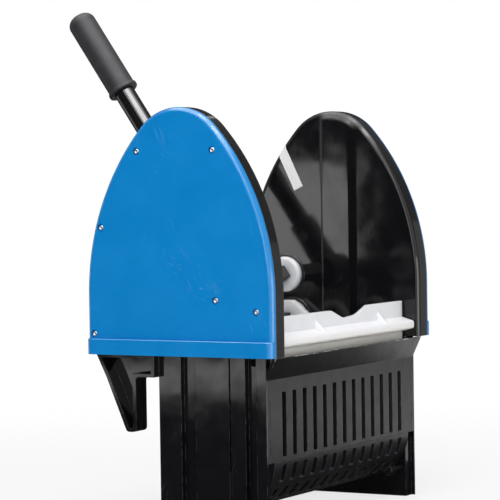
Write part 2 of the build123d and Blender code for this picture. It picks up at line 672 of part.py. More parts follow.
def arm_outline():
    """End arm: flat on top, with a sloping front edge and the same eye and foot as a lug."""
    front_top = ARM_TOP - (ARM_CORNER_Y - PRESS_FRONT) * tan(radians(ARM_SLOPE))
    back = PRESS_Y + LUG_R
    web = polygon((PRESS_FRONT, front_top), (ARM_CORNER_Y, ARM_TOP), (back, ARM_TOP), (back, PRESS_Z),
                  on_eye(LUG_WEB_LOW), (RIB_BACK, PRESS_TOP - BITE),
                  (RIB_BACK, LUG_LOW), (PRESS_FRONT, LUG_LOW))
    return Pos(PRESS_Y, PRESS_Z) * Circle(LUG_R) + web


def make_press_plate():
    """Plate that swings forward from the rear wall, ribbed behind, on two lugs and two end arms."""
    plate = block(-FLANGE_IN, FLANGE_IN, PRESS_FRONT, RIB_FACE, PRESS_BOTTOM, PRESS_TOP)
    plate = fillet(plate.edges().group_by(Axis.Z)[0].filter_by(Axis.X), PRESS_ROUND)
    root = RIB_FACE - BITE
    foot = PRESS_BOTTOM + SKIN
    plate += block(-FLANGE_IN, FLANGE_IN, root, RIB_BACK, foot, foot + RIB_THICK)
    reach = FLANGE_IN - ARM_WIDE / 2
    for i in range(PRESS_RIBS):
        x = -reach + 2 * reach * i / (PRESS_RIBS - 1)
        plate += block(x - RIB_THICK / 2, x + RIB_THICK / 2, root, RIB_BACK, foot, PRESS_TOP)
    for x in (-LUG_INNER_X, LUG_INNER_X):
        plate += prism(lug_outline(), x - LUG_WIDE / 2, x + LUG_WIDE / 2)
    arm = prism(arm_outline(), FLANGE_IN - ARM_WIDE, FLANGE_IN)
    plate += arm
    plate += other_side(arm)
    return plate - square_bar(-FLANGE_IN, FLANGE_IN, PRESS_Y, PRESS_Z, SQUARE + 2 * FIT)


# Lever, drawn upright over the shaft and then leaned back

def upright(z0, z1, radius):
    """Round bar along the lever."""
    return Pos(0, 0, (z0 + z1) / 2) * Cylinder(radius, z1 - z0)


def bolt_hole():
    """Cross hole through the socket and the tube."""
    return rod(-HUB_WIDE, HUB_WIDE, 0, BOLT_UP, BOLT_R + FIT)


def make_socket():
    """Casting on the lever shaft that takes the tube."""
    casting = rod(-HUB_WIDE / 2, HUB_WIDE / 2, 0, 0, HUB_R)
    casting = fillet(casting.edges(), HUB_ROUND)
    casting += upright(0, SOCKET_LONG, SOCKET_R)
    casting -= upright(SOCKET_SEAT, SOCKET_LONG, TUBE_R + FIT)
    casting -= square_bar(-HUB_WIDE, HUB_WIDE, 0, 0, SQUARE + 2 * FIT)
    for x in (-SET_SCREW_X, SET_SCREW_X):
        casting -= Pos(x, 0, 0) * upright(-HUB_R, 0, BOLT_R + FIT)
    return casting - bolt_hole()


def make_set_screws():
    """Two socket screws that clamp the casting on the flat of the shaft."""
    foot = SET_SCREW_SINK - HUB_R
    key = Pos(0, 0, foot) * extrude(RegularPolygon(KEY_R, 6), amount=KEY_DEEP)
    one = upright(foot, -SQUARE / 2, BOLT_R) - key
    return [Pos(x, 0, 0) * one for x in (-SET_SCREW_X, SET_SCREW_X)]


def make_tube():
    """Steel lever tube."""
    top = LEVER_LONG - GRIP_CAP
    tube = upright(SOCKET_SEAT, top, TUBE_R) - upright(SOCKET_SEAT, top, TUBE_R - TUBE_WALL)
    return tube - bolt_hole()


def make_grip():
    """Moulded grip, closed and rounded at its end, with a bead at its mouth."""
    mouth = LEVER_LONG - GRIP_LONG
    grip = upright(mouth, LEVER_LONG, GRIP_R)
    grip = fillet(grip.edges().sort_by(Axis.Z)[-1], GRIP_ROUND)
    bead = upright(mouth, mouth + BEAD_LONG, BEAD_R)
    bead = fillet(bead.edges(), BEAD_R - GRIP_R)
    return grip + bead - upright(mouth, LEVER_LONG - GRIP_CAP, TUBE_R + FIT)


def make_bolt():
    """Bolt through the socket, its head towards the right."""
    head = prism(Pos(0, BOLT_UP) * RegularPolygon(HEX_R, 6), SOCKET_R, SOCKET_R + HEX_HIGH)
    return head + rod(-SOCKET_R - HEX_HIGH - BOLT_PROUD, SOCKET_R, 0, BOLT_UP, BOLT_R)


def make_nut():
    """Nut of the lever bolt."""
    nut = prism(Pos(0, BOLT_UP) * RegularPolygon(HEX_R, 6), -SOCKET_R - HEX_HIGH, -SOCKET_R)
    return nut - rod(-SOCKET_R - HEX_HIGH, -SOCKET_R, 0, BOLT_UP, BOLT_R + FIT)


# Write the pieces

os.makedirs("parts", exist_ok=True)
lever_place = Pos(LEVER_X, SHAFT_Y, SHAFT_Z) * Rot(-LEVER_LEAN, 0, 0)
lever_axis = (SHAFT_Y, SHAFT_Z)
press_axis = (PRESS_Y, PRESS_Z)

right_pieces = {
    "side_frame": [make_side_frame()],
    "cover": [make_cover()],
    "cover_screws": make_cover_screws(),
    "guard_screws": make_frame_screws(guard_screw_places(), GUARD_SCREW_LONG),
    "trough_screws": make_frame_screws(pan_screw_places(), SCREW_LONG),
    "lever_bushing": [make_bushing(*lever_axis, -LEVER_LEAN)],
    "press_bushing": [make_bushing(*press_axis, 0)],
    "pinion": [make_pinion()],
    "sector": [make_sector()],
}
for name, solids in right_pieces.items():
    save(f"right_{name}", *solids)
    save(f"left_{name}", *[other_side(s) for s in solids])

save("front_grille", make_grille())
save("trough_pan", make_trough())
save("front_guard", make_guard())
save("lever_shaft", make_shaft(*lever_axis, -LEVER_LEAN))
save("press_shaft", make_shaft(*press_axis, 0))
save("lever_shaft_rings", *make_rings(*lever_axis))
save("press_shaft_rings", *make_rings(*press_axis))
save("press_plate", make_press_plate())
save("lever_socket", lever_place * make_socket())
save("socket_screws", *[lever_place * s for s in make_set_screws()])
save("lever_tube", lever_place * make_tube())
save("lever_grip", lever_place * make_grip())
save("lever_bolt", lever_place * make_bolt())
save("lever_nut", lever_place * make_nut())
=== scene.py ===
import json
import math

import bmesh
import bpy
from bpy.props import FloatProperty, FloatVectorProperty, PointerProperty
from bpy.types import NodeSocket, Operator, Panel, PropertyGroup
from mathutils import Matrix, Vector

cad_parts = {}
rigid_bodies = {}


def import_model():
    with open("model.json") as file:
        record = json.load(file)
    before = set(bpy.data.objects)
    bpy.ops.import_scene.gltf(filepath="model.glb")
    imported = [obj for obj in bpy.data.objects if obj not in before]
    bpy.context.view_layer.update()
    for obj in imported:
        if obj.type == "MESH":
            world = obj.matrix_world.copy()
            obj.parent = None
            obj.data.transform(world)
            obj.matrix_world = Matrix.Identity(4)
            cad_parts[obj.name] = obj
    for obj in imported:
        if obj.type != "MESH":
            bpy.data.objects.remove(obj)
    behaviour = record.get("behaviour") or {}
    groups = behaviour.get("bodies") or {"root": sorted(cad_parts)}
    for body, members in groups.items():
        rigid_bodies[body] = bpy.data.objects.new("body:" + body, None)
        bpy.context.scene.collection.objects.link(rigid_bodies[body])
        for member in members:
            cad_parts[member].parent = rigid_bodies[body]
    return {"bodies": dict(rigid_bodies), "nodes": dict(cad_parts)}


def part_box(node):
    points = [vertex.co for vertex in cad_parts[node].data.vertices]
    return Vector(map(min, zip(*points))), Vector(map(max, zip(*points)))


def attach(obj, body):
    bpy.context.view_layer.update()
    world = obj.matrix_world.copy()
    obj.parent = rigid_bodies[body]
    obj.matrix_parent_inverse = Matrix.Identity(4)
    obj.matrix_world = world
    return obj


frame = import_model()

bl_info = {
    "name": "Mop wringer finish",
    "version": (1, 0, 0),
    "blender": (4, 5, 0),
    "location": "View3D > Sidebar > Wringer",
    "description": "Finishes, bare strip and studio stage for a lever mop wringer",
    "category": "Object",
}


# Properties

def length(label, text, default):
    """Length in metres."""
    return FloatProperty(name=label, description=text, default=default, min=0.0, precision=4,
                         subtype="DISTANCE", unit="LENGTH")


def share(label, text, default):
    """Number from nothing to all."""
    return FloatProperty(name=label, description=text, default=default, min=0.0, max=1.0, subtype="FACTOR")


def angle(label, text, degrees):
    """Angle, written in degrees."""
    return FloatProperty(name=label, description=text, default=math.radians(degrees), subtype="ANGLE")


def colour(label, text, default):
    """Linear colour."""
    return FloatVectorProperty(name=label, description=text, default=default, size=3, min=0.0, max=1.0,
                               subtype="COLOR")


def place(label, text, default):
    """Point in the wringer's own frame."""
    return FloatVectorProperty(name=label, description=text, default=default, size=3, precision=4,
                               subtype="TRANSLATION", unit="LENGTH")


def watts(label, text, default):
    """Power of a lamp."""
    return FloatProperty(name=label, description=text, default=default, min=0.0, unit="POWER")


class StageSettings(PropertyGroup):
    """Camera, floor, lamps and cards"""
    camera: place("Camera", "Place of the camera", (-2.21898, -1.29990, 0.34922))
    turn: angle("Turn", "How far left of the front the camera stands", 60.80)
    pitch: angle("Pitch", "How far the camera looks down", 1.87)
    roll: angle("Roll", "Roll of the camera", -0.86)
    lens: FloatProperty(name="Lens", description="Focal length on a 36 mm sensor", default=178.4,
                        unit="CAMERA")
    floor: length("Floor", "Radius of the floor", 3.0)
    fill: FloatProperty(name="Fill", description="Strength of the soft light from all round", default=0.42)
    boom: watts("Boom", "Long softbox over the front", 15.5)
    boom_left: place("Boom left", "Left end of the long softbox", (-2.30, -0.40, 1.55))
    boom_right: place("Boom right", "Right end of the long softbox", (0.45, -1.38, 2.26))
    boom_wide: length("Boom width", "Width of the long softbox", 0.14)
    top: watts("Top", "Softbox overhead", 16.0)
    top_place: place("Top place", "Middle of the overhead softbox", (-0.60, -0.25, 2.10))
    front: watts("Front", "Softbox low in front", 11.0)
    front_place: place("Front place", "Middle of the front softbox", (-0.6, -1.9, 0.10))
    key: watts("Key", "Large softbox at the left", 13.0)
    key_place: place("Key place", "Middle of the left softbox", (-2.4, -0.6, 1.0))
    far: watts("Far", "Large softbox at the back on the right, for the far side", 14.0)
    far_place: place("Far place", "Middle of the far softbox", (2.3, 0.8, 1.0))
    rear: watts("Rear", "Low softbox at the back on the left, seen in the gloss", 0.60)
    rear_place: place("Rear place", "Middle of the rear softbox", (-0.741, 0.543, 0.275))
    wall: watts("Wall", "Low strip at the back on the left, seen in the gloss of the near side wall", 0.40)
    wall_high: length("Wall height", "Height of the low strip", 0.042)
    flag: share("Flag", "Brightness of the dark cards", 0.03)
    grey: share("Grey flag", "Brightness of the grey card at the right", 0.34)
    upper: share("Upper flag", "Brightness of the card above the grey one", 0.14)
    over: FloatProperty(name="Overhead card", description="Brightness of the pale cards overhead",
                        default=5.0, min=0.0)


class PlasticSettings(PropertyGroup):
    """Colours and edges of the plastics"""
    cover: colour("Cover", "Blue of the covers", (0.0, 0.208, 0.55))
    cover_mark: colour("Cover marks", "Scuffs and scratches on the covers", (0.36, 0.55, 0.88))
    housing: colour("Housing", "Black of the arched housings", (0.0055, 0.0055, 0.0065))
    trough: colour("Trough", "Black of the grille and the trough", (0.0075, 0.0078, 0.0090))
    rubbed: colour("Rubbed", "Rubbed black edges", (0.20, 0.21, 0.23))
    # Pale colour of the lip's chips, which also paints the highlight along the lip's edge.
    chipped_and_highlit: colour("Chipped", "Chipped edge of the lip", (0.75, 0.77, 0.80))
    white: colour("White", "Press plate, guard and bushings", (0.865, 0.855, 0.875))
    # Colour of the white plastic's real stains and the gears' grease, also used for the painted warm shade
    # above the guard's lip.
    stain_and_shade: colour("Stain", "Faint staining of the white plastic", (0.78, 0.74, 0.64))
    gear: colour("Gears", "Natural plastic of the gears", (0.80, 0.78, 0.71))
    grip: colour("Grip", "Vinyl of the grip", (0.022, 0.022, 0.026))
    dust: colour("Dust", "Dust that settles on upper faces", (0.34, 0.33, 0.31))
    scratch: share("Scratches", "How much the covers' scratches show", 0.22)
    soft: length("Soft edge", "Round of the moulded edges", 0.0009)
    apex: length("Apex round", "Round of the right housing's edge near its apex", 0.007)
    apex_from: length("Apex from", "Height at which that edge starts to soften", 0.31)
    apex_full: length("Apex full", "Height from which that edge is softest", 0.38)
    # Band within this depth of the lip's front face that gets the chips and the painted edge highlight.
    chip_highlight_deep: length("Chips", "Depth of the chips along the lip", 0.004)
    chip_highlight_fade: length("Chip fade", "Half of the fade behind the chips", 0.0005)
    # Painted shade: how far above the lip the guard's painted warm shade reaches.
    painted_shade_band: length("Damp", "Height of the stain on the guard above the lip", 0.022)
    wear: length("Wear", "Reach of the wear along edges", 0.0012)


class MetalSettings(PropertyGroup):
    """Colours of the metals"""
    shaft: colour("Shafts", "Drawn square bars", (0.07, 0.07, 0.07))
    steel: colour("Screws", "Plated steel", (0.84, 0.85, 0.87))
    black: colour("Blackened", "Blackened screws below the covers", (0.045, 0.045, 0.048))
    tarnish: colour("Tarnish", "Dull spots on the metal", (0.12, 0.115, 0.11))
    enamel: colour("Enamel", "Black of the lever tube", (0.008, 0.008, 0.009))
    casting: colour("Casting", "Black coat of the lever socket", (0.020, 0.020, 0.022))


class StripSettings(PropertyGroup):
    """Place and sizes of the bare strip"""
    foot: place("Foot", "Middle of the strip's lower end", (0.1475, -0.0386, 0.3277))
    turn: angle("Turn", "Rise of the strip above level", 64.2)
    wide: length("Width", "Width of the strip", 0.0115)
    thick: length("Thickness", "Thickness of the strip", 0.00018)
    shy: length("Edge", "How far the strip stops short of the housing's edge", 0.0006)
    fold: length("Fold", "Round of the housing's edge that the strip follows", 0.005)
    arch_top: length("Arch top", "Radius of the housing's apex", 0.055)
    arch_straight: length("Arch straight", "Height of the housing's upright edges", 0.058)
    paper: colour("Paper", "White of the strip", (0.88, 0.88, 0.89))


class WringerSettings(PropertyGroup):
    """All settings of the wringer"""
    stage: PointerProperty(type=StageSettings)
    plastic: PointerProperty(type=PlasticSettings)
    metal: PointerProperty(type=MetalSettings)
    strip: PointerProperty(type=StripSettings)


# Shader nodes

class Graph:
    """Adds nodes to one tree and joins them."""
    # Range that a noise mostly keeps to
    CLOUD = (0.3, 0.7)

    def __init__(self, tree):
        self.tree = tree

    def add(self, kind, sockets=None, **settings):
        """New node; a socket takes a value or the output that feeds it."""
        node = self.tree.nodes.new(kind)
        for key, value in settings.items():
            setattr(node, key, value)
        for key, value in (sockets or {}).items():
            self.feed(node.inputs[key], value)
        return node

    def feed(self, socket, value):
        """Link an output to a socket, or set the socket's own value."""
        if isinstance(value, NodeSocket):
            self.tree.links.new(value, socket)
        elif socket.type == "RGBA":
            socket.default_value = (*value, 1.0)
        else:
            socket.default_value = value

    def group(self, tree, sockets):
        """Place a node group and give its inputs their values."""
        node = self.add("ShaderNodeGroup", node_tree=tree)
        for key, value in sockets.items():
            self.feed(node.inputs[key], value)
        return node.outputs

    def math(self, operation, first, second=0.0):
        """One sum on values."""
        return self.add("ShaderNodeMath", {0: first, 1: second}, operation=operation).outputs[0]

    def vector(self, operation, first, second=(0.0, 0.0, 0.0)):
        """One sum on vectors."""
        return self.add("ShaderNodeVectorMath", {0: first, 1: second}, operation=operation).outputs

    def noise(self, vector, scale, detail=3.0, rough=0.55):
        """Cloudy value from 0 to 1."""
        sockets = {"Vector": vector, "Scale": scale, "Detail": detail, "Roughness": rough}
        return self.add("ShaderNodeTexNoise", sockets).outputs[0]

    def ramp(self, value, low, high, start=0.0, end=1.0):
        """Smooth step of a value between two limits."""
        sockets = {0: value, 1: low, 2: high, 3: start, 4: end}
        return self.add("ShaderNodeMapRange", sockets, interpolation_type="SMOOTHSTEP").outputs[0]

    def spread(self, cloud, start, end):
        """Stretch the usual range of a noise over a span of values."""
        return self.ramp(cloud, *self.CLOUD, start, end)

    def mix(self, mask, first, second):
        """Blend two colours by a mask."""
        return self.add("ShaderNodeMix", {0: mask, 6: first, 7: second}, data_type="RGBA").outputs[2]

    def lay(self, base, mask, over, weight):
        """Lay a colour over a base, by a mask times a weight."""
        return self.mix(self.math("MULTIPLY", mask, weight), base, over)

    def object_point(self):
        """Point of the surface in the piece's own frame."""
        return self.add("ShaderNodeTexCoord").outputs["Object"]

    def object_axes(self):
        """The same point, as X, Y and Z."""
        return self.add("ShaderNodeSeparateXYZ", {0: self.object_point()}).outputs

    def bevel(self, radius):
        """Normal as if the edges were rounded."""
        return self.add("ShaderNodeBevel", {"Radius": radius}, samples=6).outputs[0]

    def part_of(self, noise, amount, most, swing, fade):
        """Patches of a noise: the more of them, the larger the amount."""
        start = self.math("SUBTRACT", most, self.math("MULTIPLY", amount, swing))
        return self.ramp(noise, start, self.math("ADD", start, fade))

    def per(self, size):
        """Scale of a texture whose features have this size."""
        return self.math("DIVIDE", 1.0, size)


def effect(label, inputs, outputs, build):
    """Node group made once: build returns what feeds each output."""
    tree = bpy.data.node_groups.get(label)
    if tree:
        return tree
    tree = bpy.data.node_groups.new(label, "ShaderNodeTree")
    for name, (kind, value) in inputs.items():
        socket = tree.interface.new_socket(name, in_out="INPUT", socket_type=kind)
        socket.default_value = value
    for name, kind in outputs.items():
        tree.interface.new_socket(name, in_out="OUTPUT", socket_type=kind)
    graph = Graph(tree)
    entry = graph.add("NodeGroupInput").outputs
    leave = graph.add("NodeGroupOutput").inputs
    for name, source in build(graph, entry).items():
        tree.links.new(source, leave[name])
    return tree


NUMBER = "NodeSocketFloat"
TINT = "NodeSocketColor"
ARROW = "NodeSocketVector"


def moulded_grain():
    """Fine grain of a moulded face, with a slow wave under it."""
    def build(graph, given):
        point = graph.object_point()
        fine = graph.noise(point, graph.per(given["Size"]), detail=2.0)
        wave = graph.noise(point, graph.per(given["Wave"]), detail=1.0)
        fine = graph.math("MULTIPLY", fine, given["Fine"])
        return {"Height": graph.math("ADD", fine, wave)}
    inputs = {"Size": (NUMBER, 0.0006), "Wave": (NUMBER, 0.03), "Fine": (NUMBER, 0.1)}
    return effect("Moulded grain", inputs, {"Height": NUMBER}, build)


def soft_edges():
    """Normal that rounds the edges of a moulding."""
    def build(graph, given):
        return {"Normal": graph.bevel(given["Radius"])}
    return effect("Soft edges", {"Radius": (NUMBER, 0.0008)}, {"Normal": ARROW}, build)


def edge_wear():
    """Broken mask along the edges of a piece."""
    def build(graph, given):
        bent = graph.bevel(given["Reach"])
        flat = graph.add("ShaderNodeNewGeometry").outputs["Normal"]
        dot = graph.vector("DOT_PRODUCT", bent, flat)["Value"]
        edge = graph.ramp(graph.math("SUBTRACT", 1.0, dot), low=0.01, high=0.12)
        cloud = graph.noise(graph.object_point(), graph.per(given["Size"]), detail=4.0, rough=0.65)
        broken = graph.part_of(cloud, given["Amount"], most=0.72, swing=0.5, fade=0.08)
        return {"Mask": graph.math("MULTIPLY", edge, broken)}
    inputs = {"Reach": (NUMBER, 0.001), "Size": (NUMBER, 0.006), "Amount": (NUMBER, 0.4)}
    return effect("Edge wear", inputs, {"Mask": NUMBER}, build)


def mottle():
    """Slight lightness changes of a coloured plastic."""
    def build(graph, given):
        cloud = graph.noise(graph.object_point(), graph.per(given["Size"]), detail=4.0, rough=0.6)
        swing = graph.math("MULTIPLY", graph.math("SUBTRACT", cloud, 0.5), given["Amount"])
        level = graph.math("ADD", swing, 1.0)
        shade = graph.add("ShaderNodeVectorMath", {0: given["Color"], "Scale": level}, operation="SCALE")
        return {"Color": shade.outputs[0], "Value": cloud}
    inputs = {"Color": (TINT, (0.5, 0.5, 0.5, 1.0)), "Size": (NUMBER, 0.03), "Amount": (NUMBER, 0.2)}
    return effect("Mottle", inputs, {"Color": TINT, "Value": NUMBER}, build)


def scratches():
    """Sparse straight scratches on the upright faces, in patches."""
    def build(graph, given):
        point = graph.object_point()
        turned = graph.add("ShaderNodeVectorRotate", {"Vector": point, "Angle": given["Turn"]},
                           rotation_type="X_AXIS").outputs[0]
        along = graph.per(given["Length"])
        across = graph.per(given["Width"])
        scale = graph.add("ShaderNodeCombineXYZ", {0: along, 1: along, 2: across}).outputs[0]
        stretched = graph.vector("MULTIPLY", turned, scale)[0]
        lines = graph.ramp(graph.noise(stretched, scale=1.0, detail=1.0, rough=0.4), low=0.66, high=0.74)
        cloud = graph.noise(point, graph.per(given["Patch"]), detail=2.0)
        patches = graph.part_of(cloud, given["Amount"], most=0.75, swing=0.4, fade=0.1)
        return {"Mask": graph.math("MULTIPLY", lines, patches)}
    inputs = {"Turn": (NUMBER, 0.5), "Length": (NUMBER, 0.02), "Width": (NUMBER, 0.0006),
              "Patch": (NUMBER, 0.05), "Amount": (NUMBER, 0.5)}
    return effect("Scratches", inputs, {"Mask": NUMBER}, build)


def settled_dust():
    """Mask of dust on faces that look up."""
    def build(graph, given):
        normal = graph.add("ShaderNodeNewGeometry").outputs["Normal"]
        up = graph.add("ShaderNodeSeparateXYZ", {0: normal}).outputs["Z"]
        cloud = graph.noise(graph.object_point(), graph.per(given["Size"]), detail=6.0, rough=0.7)
        specks = graph.ramp(cloud, low=0.35, high=0.7)
        mask = graph.math("MULTIPLY", graph.ramp(up, low=0.35, high=0.95), specks)
        return {"Mask": graph.math("MULTIPLY", mask, given["Amount"])}
    inputs = {"Size": (NUMBER, 0.004), "Amount": (NUMBER, 0.3)}
    return effect("Settled dust", inputs, {"Mask": NUMBER}, build)


def drawn_lines():
    """Fine lines along the bar that a drawing die leaves."""
    def build(graph, given):
        point = graph.object_point()
        along = graph.per(given["Length"])
        across = graph.per(given["Width"])
        scale = graph.add("ShaderNodeCombineXYZ", {0: along, 1: across, 2: across}).outputs[0]
        stretched = graph.vector("MULTIPLY", point, scale)[0]
        return {"Height": graph.noise(stretched, scale=1.0)}
    inputs = {"Length": (NUMBER, 0.05), "Width": (NUMBER, 0.0005)}
    return effect("Drawn lines", inputs, {"Height": NUMBER}, build)


# Finishes

def bare_material(label):
    """New material without nodes, and the graph that fills it."""
    material = bpy.data.materials.new(label)
    material.use_nodes = True
    material.node_tree.nodes.clear()
    return material, Graph(material.node_tree)


def finish(label, build, **constants):
    """Material with one Principled shader: build feeds what changes, constants stay on its sockets."""
    material, graph = bare_material(label)
    shader = graph.add("ShaderNodeBsdfPrincipled")
    for name, value in constants.items():
        graph.feed(shader.inputs[name.replace("_", " ")], value)
    for name, source in build(graph).items():
        graph.feed(shader.inputs[name], source)
    graph.add("ShaderNodeOutputMaterial", {"Surface": shader.outputs[0]})
    return material


def bumped(graph, height, distance, strength, radius=None):
    """Normal with a height, on soft edges where a radius is given."""
    sockets = {"Height": height, "Distance": distance, "Strength": strength}
    if radius is not None:
        sockets["Normal"] = graph.group(soft_edges(), {"Radius": radius})["Normal"]
    return graph.add("ShaderNodeBump", sockets).outputs[0]


def cover_finish(plastic):
    """Satin blue plastic with scuffs and fine scratches."""
    def build(graph):
        shade = graph.group(mottle(), {"Color": plastic.cover, "Size": 0.035, "Amount": 0.22})
        long = graph.group(scratches(), {"Turn": 1.9, "Length": 0.03, "Width": 0.0006, "Patch": 0.06,
                                         "Amount": 0.42})["Mask"]
        short = graph.group(scratches(), {"Turn": -0.5, "Length": 0.010, "Width": 0.0008, "Patch": 0.045,
                                          "Amount": 0.42})["Mask"]
        cloud = graph.noise(graph.object_point(), scale=22.0, detail=6.0, rough=0.72)
        scuffs = graph.ramp(cloud, low=0.60, high=0.86, end=0.14)
        faint = graph.math("MULTIPLY", graph.math("MAXIMUM", long, short), plastic.scratch)
        marks = graph.math("MAXIMUM", faint, scuffs)
        tint = graph.mix(marks, shade["Color"], plastic.cover_mark)
        grain = graph.group(moulded_grain(), {"Size": 0.0005, "Wave": 0.05, "Fine": 0.008})["Height"]
        satin = graph.spread(shade["Value"], 0.15, 0.20)
        rough = graph.math("ADD", satin, graph.math("MULTIPLY", marks, 0.3))
        return {"Base Color": tint, "Roughness": rough,
                "Normal": bumped(graph, grain, distance=0.0004, strength=0.25)}
    return finish("Cover blue", build, IOR=1.5, Specular_IOR_Level=0.6)


def housing_finish(plastic):
    """Glossy black plastic of the side frames, wavy and dusty, rounder at the right one's apex."""
    def build(graph):
        shade = graph.group(mottle(), {"Color": plastic.housing, "Size": 0.02, "Amount": 0.5})
        marks = graph.group(scratches(), {"Turn": 1.2, "Length": 0.015, "Width": 0.0006, "Patch": 0.04,
                                          "Amount": 0.55})["Mask"]
        tint = graph.lay(shade["Color"], marks, plastic.rubbed, weight=0.10)
        worn = graph.group(edge_wear(), {"Reach": plastic.wear, "Size": 0.01, "Amount": 0.5})["Mask"]
        tint = graph.lay(tint, worn, plastic.rubbed, weight=0.22)
        dust = graph.group(settled_dust(), {"Size": 0.003, "Amount": 0.10})["Mask"]
        tint = graph.mix(dust, tint, plastic.dust)
        grain = graph.group(moulded_grain(), {"Size": 0.0005, "Wave": 0.045, "Fine": 0.004})["Height"]
        gloss = graph.spread(shade["Value"], 0.06, 0.11)
        rough = graph.math("ADD", gloss, graph.math("MULTIPLY", dust, 0.8))
        point = graph.object_axes()
        right = graph.ramp(point["X"], low=-0.01, high=0.01)
        apex = graph.math("MULTIPLY", right, graph.ramp(point["Z"], plastic.apex_from, plastic.apex_full))
        soft = graph.ramp(apex, 0.0, 1.0, start=plastic.soft, end=plastic.apex)
        return {"Base Color": tint, "Roughness": rough,
                "Normal": bumped(graph, grain, distance=0.0010, strength=0.3, radius=soft)}
    return finish("Housing black", build, IOR=1.5, Specular_IOR_Level=0.45)


def trough_finish(plastic):
    """Satin black plastic of the grille and the trough, with pale chips along the lip that also paint its
    edge highlight.
    """
    def build(graph):
        shade = graph.group(mottle(), {"Color": plastic.trough, "Size": 0.015, "Amount": 0.5})
        worn = graph.group(edge_wear(), {"Reach": plastic.wear, "Size": 0.006, "Amount": 0.55})["Mask"]
        tint = graph.lay(shade["Color"], worn, plastic.rubbed, weight=0.3)
        # Pale chips along the lip's front edge: partly real chipping, partly a painted highlight along
        # that edge.
        chip_and_highlight = graph.group(edge_wear(), {"Reach": 0.0016, "Size": 0.009, "Amount": 0.42})["Mask"]
        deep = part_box("front_grille")[0][1] + plastic.chip_highlight_deep
        lip = graph.ramp(graph.object_axes()["Y"], deep + plastic.chip_highlight_fade, deep - plastic.chip_highlight_fade)
        tint = graph.lay(tint, chip_and_highlight, plastic.chipped_and_highlit, weight=lip)
        dust = graph.group(settled_dust(), {"Size": 0.003, "Amount": 0.16})["Mask"]
        tint = graph.mix(dust, tint, plastic.dust)
        grain = graph.group(moulded_grain(), {"Size": 0.0006, "Wave": 0.03, "Fine": 0.06})["Height"]
        return {"Base Color": tint, "Roughness": graph.spread(shade["Value"], 0.28, 0.38),
                "Normal": bumped(graph, grain, distance=0.0008, strength=0.35, radius=plastic.soft)}
    return finish("Trough black", build, IOR=1.5, Specular_IOR_Level=0.5)


def white_finish(label, plastic, lip=None):
    """Waxy white plastic, slightly translucent and faintly stained, with painted warm shade just above the
    lip.
    """
    def build(graph):
        shade = graph.group(mottle(), {"Color": plastic.white, "Size": 0.04, "Amount": 0.06})
        cloud = graph.noise(graph.object_point(), scale=60.0, detail=5.0, rough=0.65)
        tint = graph.mix(graph.ramp(cloud, low=0.55, high=0.8, end=0.16), shade["Color"], plastic.stain_and_shade)
        marks = graph.group(scratches(), {"Turn": 0.2, "Length": 0.01, "Width": 0.0006, "Patch": 0.03,
                                          "Amount": 0.5})["Mask"]
        tint = graph.lay(tint, marks, plastic.stain_and_shade, weight=0.12)
        if lip is not None:
            # Painted warm shade: the guard is darkened and warmed towards the lip, under its nose, more in
            # some patches, with the stain colour.
            painted_shade_band = graph.ramp(graph.object_axes()["Z"], lip, lip + plastic.painted_shade_band, start=0.8, end=0.0)
            patches = graph.ramp(cloud, low=0.3, high=0.6, start=0.6, end=1.0)
            tint = graph.lay(tint, painted_shade_band, plastic.stain_and_shade, weight=patches)
        grain = graph.group(moulded_grain(), {"Size": 0.0008, "Wave": 0.02, "Fine": 0.05})["Height"]
        return {"Base Color": tint, "Roughness": graph.spread(cloud, 0.32, 0.44),
                "Normal": bumped(graph, grain, distance=0.0005, strength=0.3, radius=2.0 * plastic.soft)}
    return finish(label, build, IOR=1.5, Specular_IOR_Level=0.35, Subsurface_Weight=0.8,
                  Subsurface_Scale=0.012, Subsurface_Radius=(1.0, 0.9, 0.8))


def gear_finish(plastic):
    """Natural plastic of the toothed wheels, greased between the teeth."""
    def build(graph):
        shade = graph.group(mottle(), {"Color": plastic.gear, "Size": 0.01, "Amount": 0.12})
        cloud = graph.noise(graph.object_point(), scale=220.0, detail=4.0, rough=0.6)
        grease = graph.ramp(cloud, low=0.52, high=0.75, end=0.35)
        tint = graph.mix(grease, shade["Color"], plastic.stain_and_shade)
        grain = graph.group(moulded_grain(), {"Size": 0.0006, "Wave": 0.01, "Fine": 0.1})["Height"]
        return {"Base Color": tint, "Roughness": graph.spread(shade["Value"], 0.35, 0.5),
                "Normal": bumped(graph, grain, distance=0.0003, strength=0.3, radius=0.5 * plastic.soft)}
    return finish("Gear plastic", build, IOR=1.5, Subsurface_Weight=0.15, Subsurface_Scale=0.003)


def grip_finish(plastic):
    """Matte vinyl, finely pitted."""
    def build(graph):
        shade = graph.group(mottle(), {"Color": plastic.grip, "Size": 0.012, "Amount": 0.35})
        dust = graph.group(settled_dust(), {"Size": 0.002, "Amount": 0.10})["Mask"]
        tint = graph.mix(dust, shade["Color"], plastic.dust)
        grain = graph.group(moulded_grain(), {"Size": 0.0005, "Wave": 0.012, "Fine": 0.35})["Height"]
        return {"Base Color": tint, "Roughness": graph.spread(shade["Value"], 0.46, 0.56),
                "Normal": bumped(graph, grain, distance=0.0004, strength=0.4, radius=0.5 * plastic.soft)}
    return finish("Grip vinyl", build, IOR=1.5, Specular_IOR_Level=0.33)


def enamel_finish(metal):
    """Gloss black enamel on the tube, with a trace of peel and fine rub marks."""
    def build(graph):
        shade = graph.group(mottle(), {"Color": metal.enamel, "Size": 0.02, "Amount": 0.3})
        rub = graph.group(scratches(), {"Turn": 0.6, "Length": 0.012, "Width": 0.0004, "Patch": 0.03,
                                        "Amount": 0.5})["Mask"]
        tint = graph.lay(shade["Color"], rub, metal.tarnish, weight=0.12)
        peel = graph.group(moulded_grain(), {"Size": 0.002, "Wave": 0.02, "Fine": 0.03})["Height"]
        return {"Base Color": tint, "Roughness": graph.spread(shade["Value"], 0.07, 0.12),
                "Normal": bumped(graph, peel, distance=0.0002, strength=0.15)}
    return finish("Tube enamel", build, IOR=1.55, Specular_IOR_Level=0.48)


